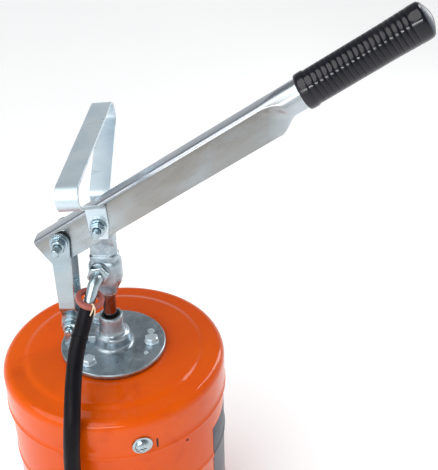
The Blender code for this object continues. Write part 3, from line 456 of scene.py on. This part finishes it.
def smooth_path(points, spacing):
    """Catmull-Rom through the points, resampled to even spacing."""
    dense = []
    for i in range(len(points) - 1):
        p0, p1 = points[max(i - 1, 0)], points[i]
        p2, p3 = points[i + 1], points[min(i + 2, len(points) - 1)]
        for k in range(12):
            t = k / 12.0
            dense.append(0.5 * ((2 * p1) + (p2 - p0) * t + (2 * p0 - 5 * p1 + 4 * p2 - p3) * t * t
                                + (3 * p1 - p0 - 3 * p2 + p3) * t ** 3))
    dense.append(points[-1])
    total = sum((b - a).length for a, b in zip(dense, dense[1:]))
    count = max(int(round(total / spacing)), 2)
    even, walked, k = [dense[0]], 0.0, 0
    for i in range(1, count):
        goal = total * i / count
        while walked + (dense[k + 1] - dense[k]).length < goal:
            walked += (dense[k + 1] - dense[k]).length
            k += 1
        step = (dense[k + 1] - dense[k]).length
        even.append(dense[k].lerp(dense[k + 1], (goal - walked) / step))
    return even + [dense[-1]]


# ---- camera -----------------------------------------------------------------------------------
CAMERA_PLACE = (0.1619, -0.7203, 0.8979)
CAMERA_HEADING, CAMERA_DIP, CAMERA_ROLL = radians(3.49), radians(32.06), radians(-1.12)
LENS, SENSOR = 69.863, 36.0


def camera():
    """A long lens that looks down at the pump from the front right."""
    data = bpy.data.cameras.new("camera")
    data.sensor_fit, data.sensor_width, data.lens = "HORIZONTAL", SENSOR, LENS
    obj = bpy.data.objects.new("camera", data)
    bpy.context.scene.collection.objects.link(obj)
    level = radians(90.0)
    turn = (Matrix.Rotation(CAMERA_HEADING, 4, "Z") @ Matrix.Rotation(level - CAMERA_DIP, 4, "X")
            @ Matrix.Rotation(CAMERA_ROLL, 4, "Z"))
    obj.matrix_world = Matrix.Translation(CAMERA_PLACE) @ turn
    bpy.context.scene.camera = obj


# ---- hose -------------------------------------------------------------------------------------
DROP_STEPS, COIL_STEPS_PER_TURN, TAIL_STEPS = 8, 26, 5
HOSE_SPACING = 13.5 * MM


def hose_route():
    """The CAD's route: out of the sleeve, over the lid's edge, down to the floor, coil and tail."""
    start = RING_CENTRE + HOSE_START * LEG_DIR
    hang = [(-21.6, -63.0, 57.4), (-22.8, -69.0, 50.8), (-23.3, -77.0, 44.4), (-23.2, -86.0, 38.8),
            (-22.6, -96.0, 33.4), (-21.8, -106.0, 28.0), (-21.1, -115.0, 21.8), (-20.7, -122.5, 14.2),
            (-20.9, -128.0, 5.0), (-21.6, -131.6, -6.0), (-22.6, -133.6, -18.0), (-24.2, -135.2, -42.0),
            (-26.0, -137.4, -80.0), (-27.4, -140.0, -120.0), (-28.0, -142.2, -155.0)]
    points = [start] + [Vector((x * MM, y * MM, LID_Z + z * MM)) for x, y, z in hang]
    rest = HOSE_R + FLOOR_GAP
    top = rest + COIL_TURNS * COIL_PITCH
    join_y = COIL_CENTRE.y + COIL_R
    last = points[-1]
    for i in range(DROP_STEPS + 1):
        f = i / DROP_STEPS
        a = radians(90.0 * f)
        points.append(Vector((last.x - DROP_BEND * (1.0 - cos(a)), last.y + (join_y - last.y) * f,
                              top + DROP_BEND * (1.0 - sin(a)))))
    upper = smooth_path(points, HOSE_SPACING)
    coil = []
    steps = int(COIL_TURNS * COIL_STEPS_PER_TURN)
    for i in range(steps + 1):
        f = i / steps
        coil.append(COIL_CENTRE + polar(COIL_R, 90.0 + 360.0 * COIL_TURNS * f, top - (top - rest) * f))
    tail = [coil[-1] + Vector((TAIL * k / TAIL_STEPS, 0.0, 0.0)) for k in range(1, TAIL_STEPS + 1)]
    return upper + coil + tail


def hose():
    """One tube for the whole cord, which bends between the head and the bucket."""
    points = hose_route()
    bm = bmesh.new()
    pipe(bm, points, HOSE_R, 28)
    obj = piece("hose_tube", bm, HOSE, None, ("hose", "hose_coil", "hose_tail"))
    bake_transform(obj)


# ---- studio -----------------------------------------------------------------------------------
SKY = ((0.0, 0.86), (0.14, 0.70), (0.34, 0.45), (0.50, 0.24), (0.62, 0.30), (0.86, 0.22), (1.0, 0.15))
SKY_TINT = (0.95, 0.98, 1.0)
SUN_WAY, SUN_POWER, SUN_SPREAD = Vector((0.60, 0.45, -1.0)), 1.7, radians(60.0)
FLOOR_HALF, FLOOR_Z = 45.0, -0.0005


def sky():
    """Grey room, brightest below the horizon, so that metal picks up soft bands."""
    world = bpy.data.worlds.new("studio")
    bpy.context.scene.world = world
    world.use_nodes = True
    tree = world.node_tree
    split = tree.nodes.new("ShaderNodeSeparateXYZ")
    tree.links.new(tree.nodes.new("ShaderNodeTexCoord").outputs["Generated"], split.inputs["Vector"])
    ramp = tree.nodes.new("ShaderNodeValToRGB")
    while len(ramp.color_ramp.elements) < len(SKY):
        ramp.color_ramp.elements.new(0.5)
    for element, (place, grey) in zip(ramp.color_ramp.elements, SKY):
        element.position, element.color = place, (*(grey * k for k in SKY_TINT), 1.0)
    tree.links.new(split.outputs["Z"], ramp.inputs["Fac"])
    tree.links.new(ramp.outputs["Color"], tree.nodes["Background"].inputs["Color"])
    tree.nodes["Background"].inputs["Strength"].default_value = 1.0


def area_light(name, location, target, size, roll, power):
    """A rectangular light at location, aimed at target and rolled about its aim."""
    data = bpy.data.lights.new(name, "AREA")
    data.shape, data.size, data.size_y = "RECTANGLE", size[0], size[1]
    data.energy = power
    obj = bpy.data.objects.new(name, data)
    bpy.context.scene.collection.objects.link(obj)
    obj.location = location
    aim = (Vector(target) - Vector(location)).to_track_quat("-Z", "Y")
    obj.rotation_euler = (aim.to_matrix() @ Matrix.Rotation(radians(roll), 3, "Z")).to_euler()


def studio():
    """Sky, a broad sun, a strip for the grip's highlight, an edge light from behind and the floor."""
    scene = bpy.context.scene
    scene.view_settings.view_transform = "Standard"
    sky()
    data = bpy.data.lights.new("sun", "SUN")
    data.energy, data.angle = SUN_POWER, SUN_SPREAD
    sun = bpy.data.objects.new("sun", data)
    scene.collection.objects.link(sun)
    sun.rotation_euler = SUN_WAY.to_track_quat("-Z", "Y").to_euler()
    area_light("strip", (-0.24, -1.33, 1.11), (0.25, 0.0, 0.628), (1.3, 0.16), 33.0, 9.0)
    area_light("edge", (0.9, 0.9, 1.1), (0.0, 0.0, 0.4), (0.3, 1.2), 0.0, 7.0)
    bm = bmesh.new()
    bmesh.ops.create_grid(bm, x_segments=8, y_segments=8, size=FLOOR_HALF)
    mesh = bpy.data.meshes.new("floor")
    bm.to_mesh(mesh)
    bm.free()
    mesh.materials.append(floor_finish())
    floor = bpy.data.objects.new("floor", mesh)
    scene.collection.objects.link(floor)
    floor.location.z = FLOOR_Z


def finishes():
    """Give every CAD node that stays its node material, smooth shading and softened edges; the flange
    screws take the pale handle zinc instead, a painted highlight on their heads.
    """
    for part in frame["record"]["subparts"]:
        obj = NODES[part["node"]]
        obj.data.materials.clear()
        screw = part["node"].startswith("flange_screw")
        # painted highlight: the flange screws get the pale handle zinc so their heads read light
        obj.data.materials.append(HANDLE_ZINC_AND_PAINTED_HIGHLIGHT if screw else BY_SLOT[part["material_slot"]])
        for face in obj.data.polygons:
            face.use_smooth = True
        weld = obj.modifiers.new("weld", "WELD")
        weld.merge_threshold = 0.001 * MM
        rounded(obj, 0.35 * MM, 2, 38.0)
        normals = obj.modifiers.new("normals", "WEIGHTED_NORMAL")
        normals.keep_sharp = True


# ---- bucket, lid and flange -------------------------------------------------------------------
def bead(radius, z):
    """Profile of a rolled bead on a wall of the given radius."""
    bulge = [(radius + BEAD_OUT * cos(radians(a)), z + BEAD_HALF * sin(radians(a)))
             for a in (-80, -50, -20, 0, 20, 50, 80)]
    return [(radius, z - BEAD_MARGIN)] + bulge + [(radius, z + BEAD_MARGIN)]


def bucket_body():
    """Sheet bucket with a rolled foot and two beads."""
    hub, base = 2.0 * MM, 52.0 * MM
    inner = BUCKET_R - BUCKET_SHEET
    foot = in_mm(((-4.0, 0.0), (1.0, 0.0), (1.8, 0.8), (2.0, 3.0), (1.6, 5.2), (0.0, 7.0)))
    profile = [(hub, 0.0), (base, 0.0)] + [(BUCKET_R + r, z) for r, z in foot]
    for z in BEAD_HEIGHTS:
        profile += bead(BUCKET_R, z)
    profile += [(BUCKET_R, BUCKET_TOP), (inner, BUCKET_TOP), (inner, 3.5 * MM),
                (inner - 2.0 * MM, BUCKET_SHEET), (hub, BUCKET_SHEET)]
    bm = bmesh.new()
    lathe(bm, profile, 160)
    piece("bucket_body", bm, ORANGE, "bucket", ("bucket_shell",))


def lid_cover():
    """Pressed lid: flat middle, stamped ring, round shoulder and a skirt with a rolled hem."""
    sheet, middle, under_band = BUCKET_SHEET, 25.0 * MM, LID_BAND - BUCKET_SHEET
    pressed = in_mm(((60.0, -0.05), (88.0, 0.0), (91.5, 0.1), (93.5, 0.5), (95.5, 1.3), (97.5, 2.1),
                     (99.5, 2.45), (102.0, 2.5)))
    hem = in_mm(((-0.05, 12.0), (0.0, 5.5), (0.35, 4.9), (0.9, 3.9), (1.0, 2.0), (0.8, 0.4), (0.3, 0.0)))
    shoulder_r, shoulder_z = LID_R - LID_SHOULDER, LID_BAND - LID_SHOULDER
    profile = [(middle, LID_Z)] + [(r, LID_Z - drop) for r, drop in pressed]
    profile += arc(shoulder_r, shoulder_z, LID_SHOULDER, 90.0, 0.0, 14)
    profile += [(LID_R + r, LID_HEM + z) for r, z in hem] + [(LID_R - sheet, LID_HEM)]
    profile += arc(shoulder_r, shoulder_z, LID_SHOULDER - sheet, 0.0, 90.0, 8)
    profile += [(97.4 * MM, under_band), (91.4 * MM, LID_Z - sheet), (middle, LID_Z - sheet)]
    bm = bmesh.new()
    lathe(bm, profile, 160)
    piece("lid_cover", bm, ORANGE, "bucket", ("lid",))


def punched_marks():
    """A short slot in the lid's skirt and a pip in the bucket's wall, as dark slugs of painted shade."""
    sides, sink = 16, 0.15 * MM
    bm = bmesh.new()
    for angle, z, radius, half_w, half_h in ((-61.4, 263.3, LID_R, 0.9, 6.0),
                                             (-44.0, 244.0, BUCKET_R, 1.5, 1.5)):
        place = along(polar(radius - sink, angle, z * MM), polar(1.0, angle, 0.0))
        rows = []
        for height in (-0.4, 0.45):
            row = []
            for k in range(sides):
                a = 2.0 * pi * (k + 0.5) / sides
                stretch = (half_h - half_w) * (1.0 if cos(a) > 0.0 else -1.0)
                row.append(place @ (Vector((half_w * cos(a) + stretch, half_w * sin(a), height)) * MM))
            rows.append(row)
        skin(bm, rows, caps=True)
    piece("punched_marks", bm, shadow_finish(), "bucket")


def blank_label():
    """A film round part of the wall, which follows the upper bead."""
    film, lip = 0.35 * MM, 0.05 * MM
    low, high, low_bevel, high_bevel = 101.6 * MM, 224.0 * MM, 0.4 * MM, 0.6 * MM
    first_angle, sweep, columns = -22.5, 62.0, 32
    profile = [(BUCKET_R + lip, low), (BUCKET_R + film, low + low_bevel)]
    profile += bead(BUCKET_R + film, BEAD_HEIGHTS[1])
    profile += [(BUCKET_R + film, high - high_bevel), (BUCKET_R + lip, high)]
    rows = []
    for i in range(columns + 1):
        angle = first_angle + sweep * i / columns
        rows.append([polar(r, angle, z) for r, z in profile])
    bm = bmesh.new()
    skin(bm, rows, caps=True)
    piece("blank_label", bm, LABEL, "bucket")


def flange_casting():
    """Cast plate with a stepped boss, the link's lug and the web that stiffens it."""
    profile = [(24.0, -16.0), (24.0, 1.6), (56.4, 1.6), (57.0, 2.2), (57.1, 4.2), (57.0, 6.0), (56.4, 6.8),
               (55.4, 7.0), (40.0, 7.05), (24.5, 7.1), (22.6, 7.5), (21.0, 8.3), (19.9, 9.6), (19.4, 11.6),
               (19.2, 15.0), (19.1, 19.0), (18.8, 20.8), (18.0, 22.0), (16.9, 22.6), (15.6, 23.2),
               (14.6, 24.4), (13.9, 26.4), (13.5, 29.0), (13.2, 33.0), (12.9, 38.0), (12.8, 43.2),
               (12.4, 44.6), (11.6, 45.0), (10.6, 45.0), (10.1, 44.6), (10.0, 43.5), (10.0, 40.2),
               (7.4, 40.2), (7.4, 27.0), (12.0, 27.0), (12.0, 1.6), (19.3, 1.6), (19.3, -16.0)]
    wave, wobble = 55.0, 0.22 * MM
    bm = bmesh.new()
    lathe(bm, [(r * MM, LID_Z + z * MM) for r, z in profile], 128)
    for vert in bm.verts:
        if vert.co.z > FLANGE_TOP - 0.5 * MM and vert.co.xy.length > 14.0 * MM:
            vert.co.z += noise.noise(vert.co * wave) * wobble

    lug = in_mm(((-54.0, 306.2), (-51.5, 308.4), (-50.8, 312.0)))
    lug += arc(LINK_FOOT.x, LINK_FOOT.z, 9.0 * MM, 180.0, 0.0, 20)
    lug += in_mm(((-32.0, 322.0), (-30.2, 312.0), (-28.0, 308.4), (-25.0, 306.2)))
    middle = Vector((-41.0 * MM, 0.0, 322.0 * MM))
    rows = []
    for y, pull in ((-6.0, 1.0), (-5.6, 0.3), (-5.0, 0.0), (5.0, 0.0), (5.6, 0.3), (6.0, 1.0)):
        row = []
        for x, z in lug:
            inward = (middle - Vector((x, 0.0, z))).normalized()
            row.append(Vector((x, y * MM, z)) + inward * pull * MM)
        rows.append(row)
    skin(bm, rows, caps=True)

    web = ((-37.0, 305.5), (-37.0, 317.9), (-34.0, 317.2), (-26.0, 315.2), (-17.5, 316.0), (-17.5, 305.5))
    rows = []
    for y, drop in ((-3.4, 0.8), (-2.9, 0.2), (-2.4, 0.0), (2.4, 0.0), (2.9, 0.2), (3.4, 0.8)):
        rows.append([Vector((x * MM, y * MM, (z - drop) * MM)) for x, z in web])
    skin(bm, rows, caps=True)
    piece("flange_casting", bm, CAST, "bucket", ("flange",), 50.0)


def casting_bosses():
    """Two low ejector bumps on the flange, in the pale handle zinc as a painted highlight."""
    bump = ((1.0, -0.5), (0.95, 0.25), (0.7, 0.6), (0.2, 0.75))
    bm = bmesh.new()
    for x, y, r in ((38.0, -18.5, 2.6), (39.0, 19.0, 4.2)):
        place = Matrix.Translation((x * MM, y * MM, FLANGE_TOP))
        lathe(bm, in_mm((r * share, z) for share, z in bump), 24, place, closed=False)
    # painted highlight: the bumps take the pale handle zinc instead of the casting's cast zinc
    piece("casting_bosses", bm, HANDLE_ZINC_AND_PAINTED_HIGHLIGHT, "bucket")


# ---- lever, grip and carry handle -------------------------------------------------------------
WALL_STEPS, BEND_STEPS = 14, 7
CREASE_S, CREASE_DEPTH, CREASE_LEAN = 199.0 * MM, 15.0 * MM, 3.0 * MM
TUBE_S, TUBE_LEAN = 225.0 * MM, 6.0 * MM
RIDGE_HIGH, RIDGE_HALF = 1.1 * MM, 3.2 * MM


def lever_point(s, n, y=0.0):
    """A point at s along the lever and n above its line."""
    return PIVOT + s * LEVER_DIR + n * LEVER_UP + Vector((0.0, y, 0.0))


def lever_section(s):
    """Outline of the lever's sheet at s: an open channel that closes into the handle tube.

    t runs from 0 at a wall's open edge to 1 at the bend; the closing starts at a V-shaped crease.
    """
    skin_gap = LEVER_SHEET / 2.0
    half, high, bend = LEVER_HALF_W - skin_gap, LEVER_TOP - skin_gap, LEVER_BEND - skin_gap
    wall = [(-half, LEVER_LOW + (high - bend - LEVER_LOW) * i / WALL_STEPS) for i in range(WALL_STEPS)]
    left = wall + arc(-half + bend, high - bend, bend, 180.0, 90.0, BEND_STEPS)
    channel = left + [(-y, n) for y, n in reversed(left)]
    last = len(channel) - 1
    tube = arc(0.0, TUBE_N, TUBE_R - skin_gap, 266.0, -86.0, last)
    line = []
    for i, ((y, n), (tube_y, tube_n)) in enumerate(zip(channel, tube)):
        t = min(min(i, last - i) / WALL_STEPS, 1.0)
        start = CREASE_S + CREASE_DEPTH * (1.0 - abs(2.0 * t - 1.0)) + CREASE_LEAN * (1.0 - t)
        f = min(max((s - start) / (TUBE_S - TUBE_LEAN * t - start), 0.0), 1.0)
        f = f * f * (3.0 - 2.0 * f)
        on_wall = 1.0 if 0.02 < t < 0.999 else 0.0
        ridge = RIDGE_HIGH * max(0.0, 1.0 - abs((s - start) / RIDGE_HALF)) * on_wall
        side = y * (1.0 - f) + tube_y * f
        line.append((side + (ridge if side > 0 else -ridge), n * (1.0 - f) + tube_n * f))
    outer, inner = offset_sides(line, skin_gap)
    return [lever_point(s, n, y) for y, n in outer + inner[::-1]]


def lever():
    """The pressed lever, with close stations only where it changes shape."""
    stations = [-70.0, -69.2, -60.0, -20.0, 20.0, 60.0, 100.0, 140.0, 180.0, 190.0]
    stations += [194.0 + 1.3 * i for i in range(30)] + [236.0, 260.0, 352.0]
    bm = bmesh.new()
    loops = skin(bm, [lever_section(s * MM) for s in stations])
    count = len(loops[0])
    for end in (loops[0], loops[-1]):
        for i in range(count // 2 - 1):
            bm.faces.new((end[i], end[i + 1], end[count - 2 - i], end[count - 1 - i]))
    obj = piece("lever_pressing", bm, LEVER_ZINC, "lever", ("lever",), 50.0)
    rounded(obj, 0.4 * MM, 2, 60.0)


def grip():
    """Rubber sleeve with a collar, grooved rings that widen towards the end, and a domed end."""
    ring_start, pitch, rings = 11.6, 5.25, 19
    ring_r, groove, land = 17.05, 0.4, 4.45
    swell, swell_from, swell_length = 0.5, 86.0, 22.0
    collar = [(16.2, 0.0), (17.3, 0.5), (17.8, 1.6), (18.0, 4.0), (17.9, 8.0), (17.5, 9.6), (16.9, 10.4)]
    dome = [(17.75, 116.0), (17.6, 121.0), (17.2, 122.6), (16.4, 123.6), (15.8, 124.1), (13.0, 125.6),
            (10.0, 126.9), (6.0, 128.0)]
    bore = [(6.0, 116.0), (15.4, 116.0), (15.4, 0.0)]
    profile = list(collar)
    for i in range(rings):
        s = ring_start + pitch * i
        r = ring_r + swell * max(0.0, (s - swell_from) / swell_length)
        profile += [(r, s), (r, s + land), (r - groove, s + land + 0.3), (r, s + land + 0.6)]
    profile += [(17.6, ring_start + pitch * rings)] + dome + bore
    place = along(lever_point(GRIP_START, TUBE_N), LEVER_DIR)
    bm = bmesh.new()
    lathe(bm, in_mm(profile), 96, place)
    piece("grip_sleeve", bm, GRIP, "lever", ("grip",), 55.0)

    cap = [(15.9, 124.05), (15.7, 124.4), (13.0, 125.75), (10.0, 127.05), (6.0, 128.15), (3.0, 128.6),
           (0.5, 128.8)]
    bm = bmesh.new()
    lathe(bm, in_mm(cap), 48, place, closed=False)
    piece("grip_end", bm, CAP, "lever")

    seam_steps, seam_half, crown, curve = 12, 14.4, 128.75, 0.0193
    seam = []
    for i in range(seam_steps + 1):
        x = seam_half * (2.0 * i / seam_steps - 1.0)
        seam.append(place @ (Vector((x, 0.0, crown - curve * x * x)) * MM))
    bm = bmesh.new()
    pipe(bm, seam, 0.35 * MM, 8)
    piece("grip_seam", bm, SEAL, "lever")


def carry_handle():
    """Flat strip bent into a trapezium, from one pivot tab over the top to the other."""
    up = Vector((-sin(HANDLE_LEAN), 0.0, cos(HANDLE_LEAN)))
    across = Vector((cos(HANDLE_LEAN), 0.0, sin(HANDLE_LEAN)))
    gap, knee, end_share = HANDLE_THICK / 2.0, 5.0 * MM, 0.72
    tab_y, top, reach = HANDLE_GAP + gap, HANDLE_TOP - gap, HANDLE_REACH - gap
    sides = []
    for slope, corner in ((24.0, 14.0 * MM), (28.0, 11.5 * MM)):
        half = [(tab_y, -15.5 * MM), (tab_y, 0.0), (tab_y, 17.5 * MM)]
        half += arc(tab_y + knee, 19.0 * MM, knee, 180.0, 90.0 + slope, 10)
        half += arc(reach - corner, top - corner, corner, slope - 90.0, 90.0, 26) + [(30.0 * MM, top)]
        sides.append(half)
    line = sides[0] + [(-y, h) for y, h in reversed(sides[1])]
    left, right = offset_sides(line, gap)
    sections = []
    for i in range(len(line)):
        reach_x = HANDLE_WIDE / 2.0 * (end_share if i in (0, len(line) - 1) else 1.0)
        sections.append([PIVOT + Vector((0.0, y, 0.0)) + h * up + sx * reach_x * across
                         for (y, h), sx in ((right[i], -1), (right[i], 1), (left[i], 1), (left[i], -1))])
    bm = bmesh.new()
    skin(bm, sections, caps=True)
    obj = piece("handle_strip", bm, HANDLE_ZINC_AND_PAINTED_HIGHLIGHT, "carry_handle", ("carry_handle",), 50.0)
    rounded(obj, 0.7 * MM, 3, 50.0)


# ---- pump head and outlet ---------------------------------------------------------------------
def pump_head():
    """Cast head: rod socket, faceted block with cast steps, outlet boss and the pivot tongue."""
    block = [(-11.5, -13.0), (8.0, -13.0), (11.5, -12.0), (16.0, -6.0), (16.6, -3.0), (16.6, 3.0),
             (16.0, 6.0), (11.5, 12.0), (8.0, 13.0), (-11.5, 13.0), (-15.0, 11.0), (-16.0, 8.0),
             (-16.0, -8.0), (-15.0, -11.0)]
    socket_r = 9.7
    levels = ((386.0, 0.84, 0.88), (390.0, 0.95, 0.96), (393.0, 1.0, 1.0), (411.0, 1.0, 1.0),
              (414.0, 0.98, 0.99), (416.0, 0.92, 0.90), (417.2, 0.88, 0.84), (419.8, 0.87, 0.83),
              (420.8, 0.90, 0.80), (423.2, 0.90, 0.78), (424.2, 0.83, 0.645), (430.0, 0.81, 0.635),
              (438.5, 0.79, 0.63))
    sections = []
    for z in (374.0, 377.0):
        socket = [Vector(point).normalized() * socket_r for point in block]
        sections.append([Vector((x, y, z)) * MM for x, y in socket])
    for z, wide, deep in levels:
        sections.append([Vector((x * wide, y * deep, z)) * MM for x, y in block])
    bm = bmesh.new()
    skin(bm, sections, caps=True)

    tongue = in_mm(((-12.5, 436.0), (12.5, 436.0))) + arc(0.0, PIVOT.z, 12.2 * MM, 0.0, 180.0, 24)
    rows = []
    for y, size in ((-8.3, 0.93), (-7.6, 1.0), (7.6, 1.0), (8.3, 0.93)):
        rows.append([Vector((x * size, y * MM, PIVOT.z + (z - PIVOT.z) * size)) for x, z in tongue])
    skin(bm, rows, caps=True)

    boss = [(9.0, -2.0), (10.8, 0.0), (10.6, 6.6), (9.9, 7.6), (6.4, 7.8), (6.4, -2.0)]
    outlet = along(Vector((-4.5, -7.0, 407.5)) * MM, (0.0, -1.0, 0.0))
    lathe(bm, in_mm(boss), 48, outlet)
    head = piece("head_casting", bm, CAST, "head", ("pump_head",), 40.0)
    rounded(head, 0.5 * MM, 2, 30.0)


RING_PLACE = along(RING_CENTRE, (0.29, -0.12, 0.95))


def red_ring():
    """Sealing ring on the elbow, with rounded corners."""
    section = [(9.5, -1.6), (9.3, -2.3), (10.0, -2.6), (13.2, -2.6), (14.0, -2.3), (14.4, -1.5),
               (14.4, 1.5), (14.0, 2.3), (13.2, 2.6), (10.0, 2.6), (9.3, 2.3), (9.0, 1.6)]
    bm = bmesh.new()
    lathe(bm, in_mm(section), 72, RING_PLACE)
    piece("red_ring", bm, RED, "head", ("sealing_ring",), 60.0)


def sleeve_ridge():
    """Pressed ridge near the hose's end."""
    ridge = [(6.6, -1.6), (8.3, -1.6), (8.75, -0.9), (8.8, 0.7), (8.4, 1.15), (6.6, 1.15)]
    bm = bmesh.new()
    lathe(bm, in_mm(ridge), 48, along(RING_CENTRE + 40.0 * MM * LEG_DIR, LEG_DIR))
    piece("sleeve_ridge", bm, HOSE, "head")


def twine():
    """Two strands that come out of the ring, over its rim and down."""
    fall = ((5.5, -4.5), (8.2, -2.4), (9.0, 1.6), (11.2, 3.4), (13.8, 3.3), (15.2, 1.2), (15.5, -3.5),
            (14.6, -9.0))
    thick, lumps, lump_step = 0.75 * MM, 0.12 * MM, 2.1
    bm = bmesh.new()
    for angle, drift in ((126.0, 3.0), (143.0, -2.0)):
        path = []
        for i, (r, z) in enumerate(in_mm(fall)):
            path.append(RING_PLACE @ polar(r, angle + drift * i, z))
        pipe(bm, smooth_path(path, 1.2 * MM), thick, 10, lambda i: thick + lumps * sin(i * lump_step))
    piece("twine_strands", bm, TWINE, "head", smooth_angle=80.0)


camera()
hose()
finishes()
bucket_body()
lid_cover()
punched_marks()
blank_label()
flange_casting()
casting_bosses()
lever()
grip()
carry_handle()
pump_head()
red_ring()
sleeve_ridge()
twine()
studio()
